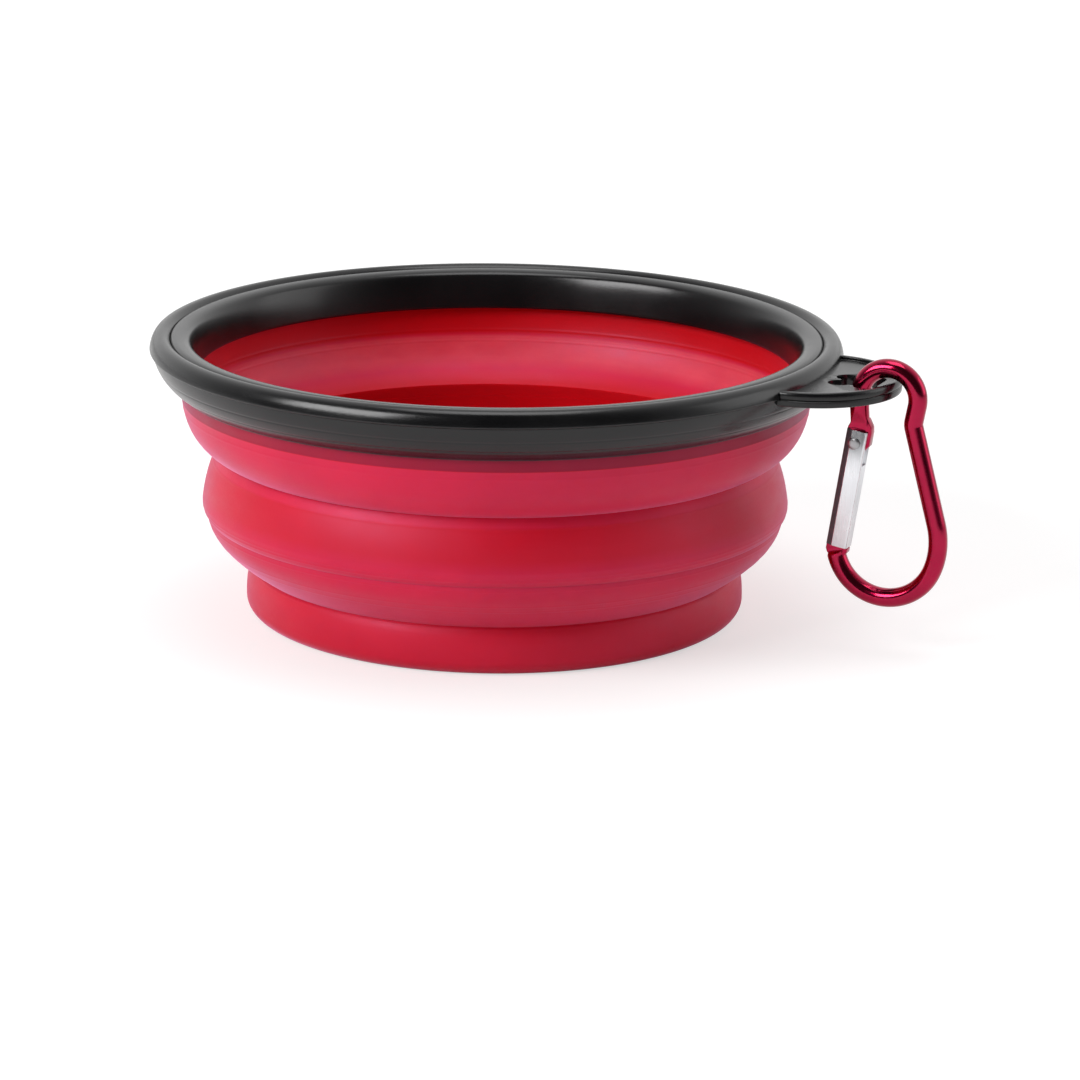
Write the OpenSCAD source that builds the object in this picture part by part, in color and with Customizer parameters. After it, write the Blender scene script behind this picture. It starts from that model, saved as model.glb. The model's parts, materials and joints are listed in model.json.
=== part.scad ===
// Collapsible silicone travel bowl with a two-ring plastic rim and a hanging snap hook.
// Millimetres. Origin at the centre of the bowl's underside, +Z up, +X through the rim's hanging tab.

/* [Rim] */
// Outer diameter of the rim
rim_d = 130; // [110:1:180]
// Height of the rim from the skirt's lower edge to the top
rim_h = 9.9; // [9:0.1:14]
// Radius of the rolled outer edge
roll_r = 2.1; // [1.6:0.1:2.4]
// Distance from the outer edge in to the seam between the two rings
seam_inset = 3.8; // [3.4:0.1:4.6]
// How far the skirt's lower edge stands in from the outer edge
skirt_inset = 5; // [4.4:0.1:6]
// Height of the upright land under the roll
land_h = 0.8; // [0.5:0.1:1.2]
// Inward step from that land to the skirt
skirt_step = 0.5; // [0.3:0.1:1.2]
// Wall of the skirt at its lower edge
skirt_t = 0.8; // [0.6:0.1:1.4]
// Wall of the inner ring at its lower edge
inner_ring_t = 1.1; // [0.8:0.1:1.6]
// Height of the skirt's inner ledge, under the bead, above the skirt's lower edge
ledge_h = 3.15; // [2.8:0.05:3.6]
// Thickness of the inner ring's cap, which covers the silicone bead
cap_t = 1.9; // [1.2:0.1:2.4]
// How far the inner ring's lower edge stands above the skirt's lower edge
ring_lift = 1.8; // [1:0.1:2.4]
// Radius of the inner ring's shoulder
inner_round_r = 1.5; // [0.8:0.1:2]

/* [Silicone bowl] */
// Wall of the two folding webs
web_t = 1.1; // [0.8:0.1:1.6]
// Wall of the stiff middle band
band_t = 2; // [1.6:0.1:3]
// Height of the upper web
upper_web_h = 12.3; // [9:0.1:16]
// How far the upper web steps in
upper_step = 6.8; // [5:0.1:9]
// Height of the middle band
band_h = 12.3; // [9:0.1:16]
// How far the band swells out below its upper neck
band_flare = 3; // [1.5:0.1:4.5]
// Height of the rounded turn at the band's lower edge
crease_h = 2.7; // [1.5:0.1:4]
// How far that turn draws in
crease_inset = 1; // [0.5:0.1:2]
// Height of the lower web
lower_web_h = 9.8; // [7:0.1:14]
// How far the lower web steps in
lower_step = 8.4; // [6:0.1:11]
// Height of the base cup up to its neck
base_h = 9; // [7:0.1:14]
// How far the base cup swells out below its neck
base_flare = 1.2; // [0.4:0.1:2.5]
// Wall of the base cup's side
base_t = 2; // [1.4:0.1:3]
// Thickness of the floor
floor_t = 2; // [1.4:0.1:4]
// Radius of the rounded lower edge
foot_r = 2.7; // [1.5:0.1:4]
// Radius of the corner between the floor and the side
floor_r = 2; // [1:0.1:3]

/* [Hanging tab] */
// Reach of the tab past the rim's outer edge
tab_reach = 14.2; // [12:0.1:20]
// Radius of the tab's rounded plan
tab_r = 16.6; // [15:0.1:22]
// Thickness of the tab at its edge
tab_t = 2.8; // [2.4:0.1:3.6]
// Height of the tab's top edge above the skirt's lower edge
tab_top_h = 8.4; // [7:0.1:9]
// Depth of the recessed face
tab_recess = 0.7; // [0.4:0.1:1.2]
// Width of the raised lip round the recess
tab_lip = 1.2; // [1:0.1:2]
// Bevel of the tab's upper and lower edges
tab_bevel = 0.6; // [0.3:0.1:1]
// Width of the bar between the hole and the tab's edge
bar_w = 3.2; // [2.8:0.1:3.6]
// Length of the bone-shaped hole
hole_l = 9.2; // [8.5:0.1:11]
// Radius of the hole's four lobes
lobe_r = 2.1; // [1.8:0.1:2.5]
// Half distance between the lobes at the inner end
lobe_inner_y = 2.4; // [2.2:0.1:3.2]
// Half distance between the lobes at the outer end
lobe_outer_y = 2.9; // [2.3:0.1:3.4]
// Half width of the hole's middle
hole_half_w = 3.3; // [2.6:0.1:4]

/* [Snap hook] */
// Diameter of the hook's rod
rod_d = 3.5; // [3:0.1:4]
// Centreline radius of the upper loop
loop_r = 5.5; // [5:0.05:7]
// Gap between the bar's corners and the loop
seat_gap = 0.2; // [0.1:0.05:0.5]
// Height from the lower bend's centre to the upper loop's centre
hook_span = 27.7; // [26:0.1:40]
// Centreline radius of the lower bend
bend_r = 9.7; // [8.5:0.1:12]
// Centreline radius of the sweep from the lower bend into the spine
sweep_r = 14; // [12:0.1:20]
// Height from the waist's corner up to the upper loop's centre
waist_h = 4.4; // [3.4:0.1:6]
// How far the waist's corner stands in from the loop's side
waist_x = 0.7; // [0.3:0.05:1]
// Centreline radius of the waist's bend
waist_r = 2.6; // [2.2:0.1:4]

/* [Gate] */
// Width of the gate across the hook
gate_w = 4.05; // [3.8:0.05:5]
// Thickness of the gate
gate_t = 3.4; // [3:0.1:4.2]
// Width of the slots at the gate's ends
slot_w = 2.1; // [1.8:0.1:2.4]
// Side clearance of the tongues in the slots
tongue_gap = 0.1; // [0.05:0.01:0.2]
// Depth of the upper slot below the rivet
slot_drop = 4.1; // [3.6:0.1:5]
// Reach of the gate above the rivet
gate_rise = 2.4; // [2:0.1:2.8]
// Drop from the loop's centre to the rivet
rivet_drop = 8.7; // [8:0.1:11]
// Diameter of the rivet's shank
rivet_d = 1.4; // [1.2:0.1:1.6]
// Running clearance round the rivet's shank
rivet_gap = 0.05; // [0.03:0.01:0.1]
// Diameter of the rivet's heads
rivet_head_d = 2.3; // [2:0.1:2.8]
// Height of the rivet's heads
rivet_head_h = 0.5; // [0.3:0.05:0.7]

/* [Spring] */
// Wire of the coil spring
spring_wire = 0.3; // [0.25:0.01:0.35]
// Mean radius of the coils
spring_r = 0.54; // [0.5:0.01:0.6]
// Number of coils
spring_turns = 7; // [5:1:9]
// Distance of the spring's axis from the gate's inner face
spring_offset = 1.1; // [1:0.05:1.4]
// Radial clearance of the spring in its bore
bore_gap = 0.11; // [0.08:0.01:0.15]
// Depth of the spring's bore below the upper slot
bore_depth = 5; // [4:0.1:7]
// Thickness of the plunger's head
plunger_h = 0.5; // [0.4:0.05:0.7]
// Length of the plunger's stem
stem_l = 2.4; // [1.5:0.1:3]
// Diameter of the plunger's stem
stem_d = 0.5; // [0.4:0.05:0.6]

/* [Hidden] */

$fn = 96;
curve_steps = 10;
// Clearance between seated faces, and how far a cut runs past the face it opens
fit = 0.05;
overlap = 0.4;

rim_r = rim_d / 2;
seam_r = rim_r - seam_inset;
skirt_r = rim_r - skirt_inset;
web_top_r = skirt_r - skirt_t;

neck_2_z = base_h;
crease_z = neck_2_z + lower_web_h;
bulge_z = crease_z + crease_h;
neck_1_z = crease_z + band_h;
skirt_z = neck_1_z + upper_web_h;
bowl_h = skirt_z + rim_h;

neck_1_r = web_top_r - upper_step;
bulge_r = neck_1_r + band_flare;
crease_r = bulge_r - crease_inset;
neck_2_r = crease_r - lower_step;
base_r = neck_2_r + base_flare;

// The bead under the seam, with the bevel that leads from the wall into it
ledge_z = skirt_z + ledge_h;
lip_drop = 0.95;
lip_z = bowl_h - lip_drop;
cap_z = lip_z - cap_t;
bead_z = ledge_z + fit;
bead_top_z = cap_z - fit;
clamp_r = web_top_r - web_t;
bead_step = 0.65;
bead_in_r = clamp_r + bead_step;
bevel_drop = 0.35;
bevel_h = 1;
bevel_low_z = ledge_z - bevel_drop;
bevel_top_z = bevel_low_z + bevel_h;

// The inner ring leans out from its lower edge up to its shoulder, and a cone leads on up to the seam
ring_z = skirt_z + ring_lift;
ring_out_r = clamp_r - fit;
ring_in_r = ring_out_r - inner_ring_t;
ring_lean = 0.4;
seam_gap = 0.25;
lip_bevel = 0.3;
lip_fall = 0.65;
cone_a = 15;

// The roll falls to the seam on its inside; on its outside the land, the step and the hollow skirt follow
roll_fall = 0.65;
step_drop = 0.3;
skirt_bow = [0.79, 0.33];

tab_top_z = skirt_z + tab_top_h;
tab_low_z = tab_top_z - tab_t;
tab_tip_r = rim_r + tab_reach;
tab_x = tab_tip_r - tab_r;
hole_out_x = tab_tip_r - bar_w;
hole_in_x = hole_out_x - hole_l;
cusp = 1.6;
hole_bevel = 0.5;
groove_w = 0.25;
bar_x = tab_tip_r - bar_w / 2;
bar_z = tab_top_z - tab_t / 2;
bar_corner = norm([bar_w / 2 - hole_bevel, tab_t / 2]);

rod_r = rod_d / 2;
loop_c = [bar_x, bar_z + bar_corner + seat_gap + rod_r - loop_r];
bend_shift = 0.4;
bend_c = [loop_c.x + bend_shift, loop_c.y - hook_span];
leg_x = loop_c.x - loop_r;
rivet_shift = 0.25;
rivet_p = [leg_x - rivet_shift, loop_c.y - rivet_drop];
nose_a = 195;
sweep_a = -20;
waist_p = [loop_c.x + loop_r - waist_x, loop_c.y - waist_h];
nose_p = bend_c + bend_r * [cos(nose_a), sin(nose_a)];
sweep_c = bend_c - (sweep_r - bend_r) * [cos(sweep_a), sin(sweep_a)];

// Tangent from the waist's corner down to the sweep, and up to the loop
to_sweep = waist_p - sweep_c;
spine_a = atan2(to_sweep.y, to_sweep.x) - acos(sweep_r / norm(to_sweep));
spine_low = sweep_c + sweep_r * [cos(spine_a), sin(spine_a)];
to_loop = waist_p - loop_c;
upper_a = atan2(to_loop.y, to_loop.x) + acos(loop_r / norm(to_loop));
waist_turn = spine_a - upper_a;
waist_cut = waist_r * tan(waist_turn / 2);
spine_top = waist_p - waist_cut * unit(waist_p - spine_low);
waist_c = spine_top + waist_r * [cos(spine_a), sin(spine_a)];

// The gate's own frame: origin on the rivet, +X to the inside of the hook, +Z up along the gate
gate_line = rivet_p - nose_p;
gate_lean = atan2(gate_line.x, gate_line.y);
nose_shoulder = 0.8;
nose_gap = 1;
gate_low = -norm(gate_line) + nose_shoulder + nose_gap;
nose_slot = 2.2;
nose_wall = 0.8;
gate_shift = 0.05;
gate_left = gate_shift - gate_w / 2;
gate_right = gate_shift + gate_w / 2;
gate_bevel = 0.3;
slot_z = -slot_drop;

// Both tongues of the rod; the upper one ends in an ear and in a flat that the plunger bears on
tongue_t = slot_w - 2 * tongue_gap;
tongue_bevel = 0.3;
tongue_slack = 0.2;
tongue_end_r = 1.6;
press_depth = 0.03;
shoulder_gap = 1;
shoulder_h = 1.4;
shoulder_low = gate_rise + shoulder_gap;
shoulder_top = shoulder_low + shoulder_h;
ear_reach = 0.55;
ear_x = gate_right + ear_reach;
ear_z = -0.1;
cam_cut = 0.7;
cam_x = ear_x - cam_cut;
cam_z = -1.2;

// Share of the rivet's head that is bevelled
rivet_dome = 0.4;

// Plunger and spring, along the gate
plunger_top = cam_z - fit;
plunger_z = plunger_top - plunger_h;
spring_top = plunger_z - fit;
bore_z = slot_z - bore_depth;
spring_low = bore_z + fit;
spring_x = gate_right - spring_offset;
spring_out_r = spring_r + spring_wire / 2;
spring_bore_r = spring_out_r + bore_gap;
coil_low = spring_low + spring_wire;
coil_h = spring_top - spring_low - 2 * spring_wire;
coil_rings = 8;
tube_sides = 6;

function unit(v) = v / norm(v);
function arc(c, r, a0, a1, n = curve_steps) =
    [for (i = [0:n]) let (a = a0 + (a1 - a0) * i / n) c + r * [cos(a), sin(a)]];
function curve(p, q, s, n = curve_steps) =
    [for (i = [0:n]) let (t = i / n) (1 - t) * (1 - t) * p + 2 * t * (1 - t) * q + t * t * s];
function tail(pts) = [for (i = [1:len(pts) - 1]) pts[i]];
function gate_point(u, z) =
    rivet_p + [u * cos(gate_lean) + z * sin(gate_lean), z * cos(gate_lean) - u * sin(gate_lean)];
function flip(pts) = [for (i = [len(pts) - 1:-1:0]) pts[i]];
function inward(pts, t) = [for (p = pts) p - [t, 0]];

// Walls of the silicone zones, from the upper edge down. A turn is the share of a zone's height,
// above or below its neck, at which the curve's control point lies
upper_turn_out = 0.23;
upper_turn_in = 0.33;
band_turn = 0.39;
band_lag = 0.25;
crease_turn = 0.33;
lower_turn_out = 0.56;
lower_turn_in = 0.61;
base_turn = 0.22;

upper_web_out = curve([web_top_r, skirt_z], [web_top_r, neck_1_z + upper_turn_out * upper_web_h],
                      [neck_1_r, neck_1_z]);
upper_web_in = curve([clamp_r, skirt_z], [clamp_r, neck_1_z + upper_turn_in * upper_web_h],
                     [neck_1_r - band_t, neck_1_z]);
band_out = concat(
    curve([neck_1_r, neck_1_z],
          [bulge_r - band_lag * band_flare, neck_1_z - band_turn * (neck_1_z - bulge_z)],
          [bulge_r, bulge_z]),
    tail(curve([bulge_r, bulge_z], [bulge_r, crease_z + crease_turn * crease_h], [crease_r, crease_z], 5)));
band_in = inward(band_out, band_t);
lower_web_out = curve([crease_r, crease_z], [crease_r, neck_2_z + lower_turn_out * lower_web_h],
                      [neck_2_r, neck_2_z]);
lower_web_in = curve([crease_r - web_t, crease_z],
                     [crease_r - web_t, neck_2_z + lower_turn_in * lower_web_h],
                     [neck_2_r - base_t, neck_2_z]);
base_turn_z = neck_2_z - base_turn * (neck_2_z - foot_r);
base_in_r = base_r - base_t;
base_out = concat(
    curve([neck_2_r, neck_2_z], [base_r, base_turn_z], [base_r, foot_r]),
    tail(arc([base_r - foot_r, foot_r], foot_r, 0, -90)));
base_in = concat(
    curve([neck_2_r - base_t, neck_2_z], [base_in_r, base_turn_z], [base_in_r, floor_t + floor_r]),
    tail(arc([base_in_r - floor_r, floor_t + floor_r], floor_r, 0, -90, 6)));

module ring(pts) {
    rotate_extrude() polygon(pts);
}

// Turns a drawing in X and Y into one that stands in the X-Z plane
module upright() {
    rotate([90, 0, 0]) children();
}

module in_gate_frame() {
    translate([rivet_p.x, 0, rivet_p.y]) rotate([0, gate_lean, 0]) children();
}

// A closed tube through rings of points that all have the same number of sides
module tube(rings) {
    sides = len(rings[0]);
    last = (len(rings) - 1) * sides;
    walls = [for (i = [0:len(rings) - 2], k = [0:sides - 1])
        let (a = i * sides + k, b = i * sides + (k + 1) % sides)
        each [[a, b + sides, b], [a, a + sides, b + sides]]];
    ends = [for (k = [1:sides - 2]) each [[0, k, k + 1], [last, last + k + 1, last + k]]];
    polyhedron([for (r = rings) each r], concat(walls, ends));
}

module bone_hole() {
    low = tab_low_z - overlap;
    tall = tab_t + 2 * overlap;
    for (side = [-1, 1]) {
        translate([hole_in_x + lobe_r, side * lobe_inner_y, low]) cylinder(h = tall, r = lobe_r);
        translate([hole_out_x - lobe_r, side * lobe_outer_y, low]) cylinder(h = tall, r = lobe_r);
    }
    translate([hole_in_x + cusp, -hole_half_w, low])
        cube([hole_l - cusp, 2 * hole_half_w, tall]);
    translate([hole_out_x, 0, tab_low_z]) rotate([0, 45, 0])
        cube([hole_bevel * sqrt(2), 2 * lobe_outer_y, hole_bevel * sqrt(2)], center = true);
}

module hanging_tab() {
    groove_z = (tab_top_z + tab_low_z) / 2;
    difference() {
        translate([tab_x, 0, 0]) rotate_extrude() polygon([
            [0, tab_low_z],
            [tab_r - tab_bevel, tab_low_z],
            [tab_r, tab_low_z + tab_bevel],
            [tab_r, groove_z - groove_w],
            [tab_r - groove_w, groove_z - groove_w / 2],
            [tab_r - groove_w, groove_z],
            [tab_r, groove_z + groove_w],
            [tab_r, tab_top_z - tab_bevel],
            [tab_r - tab_bevel, tab_top_z],
            [tab_r - tab_lip, tab_top_z],
            [tab_r - tab_lip, tab_top_z - tab_recess],
            [0, tab_top_z - tab_recess]]);
        translate([0, 0, tab_low_z - overlap]) cylinder(h = tab_t + 2 * overlap, r = seam_r + overlap);
        bone_hole();
    }
}

module outer_rim() {
    roll_c = [rim_r - roll_r, bowl_h - roll_r];
    land_low = [rim_r, roll_c.y - land_h];
    skirt_top = land_low - [skirt_step, step_drop];
    skirt_low = [skirt_r, skirt_z];
    rise = skirt_top - skirt_low;
    color("#1b1b1d") union() {
        ring(concat(
            [[web_top_r + fit, ledge_z], [web_top_r + fit, skirt_z]],
            curve(skirt_low, skirt_low + [skirt_bow.x * rise.x, skirt_bow.y * rise.y], skirt_top),
            [land_low],
            arc(roll_c, roll_r, 0, 90),
            tail(curve([roll_c.x, bowl_h], [seam_r + roll_fall * lip_drop, bowl_h], [seam_r, lip_z], 6)),
            [[seam_r, ledge_z]]));
        hanging_tab();
    }
}

module inner_rim() {
    lip_r = seam_r - seam_gap;
    round_c = [ring_in_r + ring_lean + inner_round_r, lip_z - lip_fall - inner_round_r];
    color("#1b1b1d") ring(concat(
        [[ring_in_r, ring_z], [ring_out_r, ring_z],
         [ring_out_r, bevel_low_z], [bead_in_r - fit, bevel_top_z],
         [bead_in_r - fit, cap_z], [lip_r, cap_z], [lip_r, lip_z - lip_bevel], [lip_r - lip_bevel, lip_z]],
        arc(round_c, inner_round_r, 90 + cone_a, 180, 8)));
}

module silicone_flange() {
    bead_out_r = seam_r - 2 * fit;
    color("#c8203c") ring([
        [clamp_r, skirt_z], [web_top_r, skirt_z], [web_top_r, bead_z], [bead_out_r, bead_z],
        [bead_out_r, bead_top_z], [bead_in_r, bead_top_z], [bead_in_r, bevel_top_z],
        [clamp_r, bevel_low_z]]);
}

module upper_web() {
    color("#cf2a44") ring(concat(upper_web_out, flip(upper_web_in)));
}

module middle_band() {
    color("#c8203c") ring(concat(band_out, flip(band_in)));
}

module lower_web() {
    color("#cf2a44") ring(concat(lower_web_out, flip(lower_web_in)));
}

module base_cup() {
    color("#c8203c") ring(concat(base_out, [[0, 0], [0, floor_t]], flip(base_in)));
}

module flat_tongue(pts) {
    upright() linear_extrude(tongue_t, center = true) polygon(pts);
}

module upper_tongue() {
    in_gate_frame() difference() {
        flat_tongue(concat(
            [[gate_left, gate_rise + tongue_slack], [gate_left + tongue_bevel, shoulder_low],
             [tongue_bevel - rod_r, shoulder_top], [rod_r - tongue_bevel, shoulder_top],
             [ear_x - tongue_slack, shoulder_low], [ear_x, gate_rise], [ear_x, ear_z], [cam_x, cam_z]],
            arc([0, 0], tongue_end_r, -180 + asin(-cam_z / tongue_end_r), -180)));
        upright() cylinder(h = gate_t, d = rivet_d + 2 * rivet_gap, center = true);
    }
}

module nose_tongue() {
    shoulder_z = gate_low - nose_gap;
    nose_z = shoulder_z - nose_shoulder;
    slot_top = gate_low + nose_slot - 3 * tongue_gap;
    slot_end = gate_right - nose_wall - tongue_gap;
    in_gate_frame() flat_tongue([
        [gate_left, shoulder_z], [tongue_slack - rod_r, nose_z], [rod_r - tongue_slack, nose_z],
        [gate_right, shoulder_z], [gate_right, gate_low - 2 * tongue_gap], [slot_end, gate_low],
        [slot_end, slot_top], [gate_left + tongue_bevel, slot_top], [gate_left, gate_low]]);
}

// The rod's centreline from the nose round to the tongue, each point with its half thickness
press = tongue_t / 2 - press_depth;
rod_path = concat(
    [[gate_point(0, gate_low - nose_gap), press]],
    [for (p = concat(
        arc(bend_c, bend_r, nose_a, 360 + sweep_a, 18),
        tail(arc(sweep_c, sweep_r, sweep_a, spine_a, 4)),
        arc(waist_c, waist_r, 180 + spine_a, 180 + upper_a, 4),
        arc(loop_c, loop_r, upper_a, 180, 22),
        [[leg_x, rivet_p.y + shoulder_top]])) [p, rod_r]],
    [[gate_point(0, shoulder_low), press]]);
rod_last = len(rod_path) - 1;
rod_sides = 16;

function rod_dir(i) = unit(rod_path[min(i + 1, rod_last)][0] - rod_path[max(i - 1, 0)][0]);
function rod_ring(i) =
    let (p = rod_path[i][0], half = rod_path[i][1], d = rod_dir(i))
    [for (k = [0:rod_sides - 1]) let (a = 360 * (k + 0.5) / rod_sides, across = rod_r * cos(a))
        [p.x + across * d.y, max(-half, min(half, rod_r * sin(a))), p.y - across * d.x]];

module carabiner_body() {
    color("#b3122f") union() {
        tube([for (i = [0:rod_last]) rod_ring(i)]);
        upper_tongue();
        nose_tongue();
    }
}

module gate_rivet() {
    head_z = gate_t / 2 + fit / 2;
    dome = rivet_dome * rivet_head_h;
    color("#9a9a9c") in_gate_frame() upright() rotate_extrude() polygon([
        [0, -head_z - rivet_head_h],
        [rivet_head_d / 2 - dome, -head_z - rivet_head_h],
        [rivet_head_d / 2, -head_z - rivet_head_h + dome],
        [rivet_head_d / 2, -head_z],
        [rivet_d / 2, -head_z],
        [rivet_d / 2, head_z],
        [rivet_head_d / 2, head_z],
        [rivet_head_d / 2, head_z + rivet_head_h - dome],
        [rivet_head_d / 2 - dome, head_z + rivet_head_h],
        [0, head_z + rivet_head_h]]);
}

module carabiner_gate() {
    side_r = gate_t / 2;
    color("#d4d5d8") in_gate_frame() difference() {
        translate([0, 0, gate_low]) linear_extrude(gate_rise - gate_low) polygon(concat(
            arc([gate_left + side_r, 0], side_r, 90, 270, 12),
            [[gate_right - gate_bevel, -gate_t / 2], [gate_right, -gate_t / 2 + gate_bevel],
             [gate_right, gate_t / 2 - gate_bevel], [gate_right - gate_bevel, gate_t / 2]]));
        translate([0, 0, (gate_rise + overlap + slot_z) / 2])
            cube([2 * gate_w, slot_w, gate_rise + overlap - slot_z], center = true);
        translate([gate_right - nose_wall - 2 * gate_w, -slot_w / 2, gate_low - overlap])
            cube([2 * gate_w, slot_w, nose_slot + overlap]);
        translate([spring_x, 0, bore_z]) cylinder(h = bore_depth + overlap, r = spring_bore_r);
        upright() cylinder(h = 2 * gate_t, d = rivet_d + 2 * rivet_gap, center = true);
    }
}

module spring_plunger() {
    color("#b9babd") in_gate_frame() translate([spring_x, 0, 0]) {
        translate([0, 0, plunger_z]) cylinder(h = plunger_h, r = spring_out_r);
        translate([0, 0, plunger_z - stem_l]) cylinder(h = stem_l + plunger_h / 2, d = stem_d);
    }
}

// Centreline of the coil spring: a straight end, the helix, and a straight end
coil_n = spring_turns * coil_rings;
coil_pts = concat(
    [[spring_r, 0, spring_low]],
    [for (i = [0:coil_n]) let (a = 360 * i / coil_rings)
        [spring_r * cos(a), spring_r * sin(a), coil_low + coil_h * i / coil_n]],
    [[spring_r, 0, spring_top]]);
coil_last = len(coil_pts) - 1;

function coil_dir(i) = unit(coil_pts[min(i + 1, coil_last)] - coil_pts[max(i - 1, 0)]);
function coil_ring(i) =
    let (out = unit([coil_pts[i].x, coil_pts[i].y, 0]), side = cross(coil_dir(i), out))
    [for (k = [0:tube_sides - 1]) let (a = 360 * k / tube_sides)
        coil_pts[i] + spring_wire / 2 * (cos(a) * out + sin(a) * side)];

coil_gap = min([for (i = [0:coil_last], j = [i + coil_rings / 2:coil_last])
    norm(coil_pts[i] - coil_pts[j])]) - spring_wire;
echo(least_gap_between_spring_coils = coil_gap);

module gate_spring() {
    color("#8d8e92") in_gate_frame() translate([spring_x, 0, 0])
        tube([for (i = [0:coil_last]) coil_ring(i)]);
}

outer_rim();
inner_rim();
silicone_flange();
upper_web();
middle_band();
lower_web();
base_cup();
carabiner_body();
gate_rivet();
carabiner_gate();
gate_spring();
spring_plunger();
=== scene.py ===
import json
import math

import bmesh
import bpy
from mathutils import Matrix, Vector


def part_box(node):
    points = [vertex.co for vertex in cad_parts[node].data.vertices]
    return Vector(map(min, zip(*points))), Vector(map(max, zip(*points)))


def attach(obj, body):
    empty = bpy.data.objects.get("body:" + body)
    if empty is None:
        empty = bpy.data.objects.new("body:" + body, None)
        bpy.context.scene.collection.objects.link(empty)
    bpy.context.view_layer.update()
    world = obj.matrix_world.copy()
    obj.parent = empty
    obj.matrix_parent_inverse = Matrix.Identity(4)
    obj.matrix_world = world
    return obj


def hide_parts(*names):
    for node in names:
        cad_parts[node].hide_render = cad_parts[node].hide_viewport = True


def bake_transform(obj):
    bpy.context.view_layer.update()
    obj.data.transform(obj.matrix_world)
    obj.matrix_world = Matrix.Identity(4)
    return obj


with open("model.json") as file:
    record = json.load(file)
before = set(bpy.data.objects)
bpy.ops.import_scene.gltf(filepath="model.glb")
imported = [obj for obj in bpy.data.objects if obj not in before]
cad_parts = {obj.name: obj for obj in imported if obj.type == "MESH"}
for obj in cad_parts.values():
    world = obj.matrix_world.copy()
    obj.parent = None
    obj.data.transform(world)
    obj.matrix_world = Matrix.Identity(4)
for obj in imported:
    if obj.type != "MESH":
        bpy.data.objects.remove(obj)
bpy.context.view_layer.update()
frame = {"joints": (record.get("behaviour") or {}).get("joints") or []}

MM = 0.001
SEGMENTS = 240


def node_box(node):
    """A CAD node's lowest and highest corner, in millimetres."""
    low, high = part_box(node)
    return low / MM, high / MM


# Sizes taken from the frame, in millimetres
rim_low, rim_high = node_box("outer_rim")
ring_low, ring_high = node_box("inner_rim")
_, flange_high = node_box("silicone_flange")
upper_low, upper_high = node_box("upper_web")
band_low, band_high = node_box("middle_band")
lower_low, lower_high = node_box("lower_web")
_, base_high = node_box("base_cup")
joints = {joint["name"]: joint for joint in frame["joints"]}

RIM_R = rim_high.y
BOWL_H = rim_high.z
SKIRT_Z = rim_low.z
TAB_TIP = rim_high.x
RING_Z = ring_low.z
LIP_R = ring_high.y
LIP_Z = ring_high.z
BEAD_R = flange_high.y
BEAD_TOP_Z = flange_high.z
WEB_TOP_R = upper_high.y
NECK_1_Z = upper_low.z
BULGE_R = band_high.y
CREASE_Z = band_low.z
CREASE_R = lower_high.y
NECK_2_Z = lower_low.z
BASE_R = base_high.y
RIVET = Vector(joints["gate_hinge"]["pos_m"]) / MM
BAR = Vector(joints["hook_swing"]["pos_m"]) / MM
SLIDE = Vector(joints["plunger_slide"]["axis"])
GATE_LEAN = math.atan2(-SLIDE.x, -SLIDE.z)

# Rim. Pairs are (radius, height): a place on the profile, or how far a small round goes in and up
ROLL_R = 2.1
ROLL_LEAN = 0.45
CROWN_IN = 0.2
LAND_Z = BOWL_H - ROLL_R - 0.8
EDGE_R = 0.14
EDGE_IN = 0.02
SKIRT_R = RIM_R - 5
SKIRT_STEP = 0.5
STEP_DROP = 0.3
SKIRT_BOW = (0.79, 0.33)
SKIRT_STEPS = 60
SKIRT_LINES = (0.36, 0.66)
SKIRT_LINE_W = 0.022
SKIRT_LINE_DEPTH = 0.07
SKIRT_FOOT = (0.2, 0.25)
SKIRT_MOUTH = (0.15, 0.2)
SEAM_R = LIP_R + 0.25
LEDGE_Z = SKIRT_Z + 3.15
ROLL_FALL = 0.62
RING_IN_R = 56.1
RING_LOW = RING_Z + 0.2
RING_OUT_R = 58.05
RING_CROWN = (60.0, LIP_Z + 0.5)
RING_CREST = (58.1, LIP_Z + 0.5)
RING_BROW = (57.5, LIP_Z - 0.35)
RING_FACE = (56.86, LIP_Z - 1.26)
RING_ROUND = 0.25
RING_LIP = (0.1, 0.2)
SEAM_GAP = 0.06
CAP_Z = LIP_Z - 1.9
FIT = 0.05
OVERCUT = 1

# Silicone walls
WEB_T = 1.1
BAND_T = 2.0
CLAMP_R = WEB_TOP_R - WEB_T
BEAD_IN_R = CLAMP_R + 0.65
BEVEL_Z = LEDGE_Z - 0.35
BEVEL_H = 1
NECK_1_R = 52.4
NECK_2_R = 46.0
BULGE_Z = CREASE_Z + 2.7
FOOT_R = 2.7
FLOOR_T = 2.0
FLOOR_R = 2.0
FLOOR_RINGS = (38.0, 30.0, 20.0, 10.0)

# Where the curves of the silicone's walls bend
WEB_1_BEND_Z = NECK_1_Z + 2.83
WEB_1_BEND_IN_Z = NECK_1_Z + 4.06
SWELL_BEND = (BULGE_R - 0.75, NECK_1_Z - 3.74)
BULGE_BEND_Z = CREASE_Z + 0.89
WEB_2_BEND_Z = NECK_2_Z + 5.49
WEB_2_BEND_IN = (CREASE_R - WEB_T - 0.4, NECK_2_Z + 5.98)
BASE_BEND_Z = NECK_2_Z - 1.39

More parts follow.
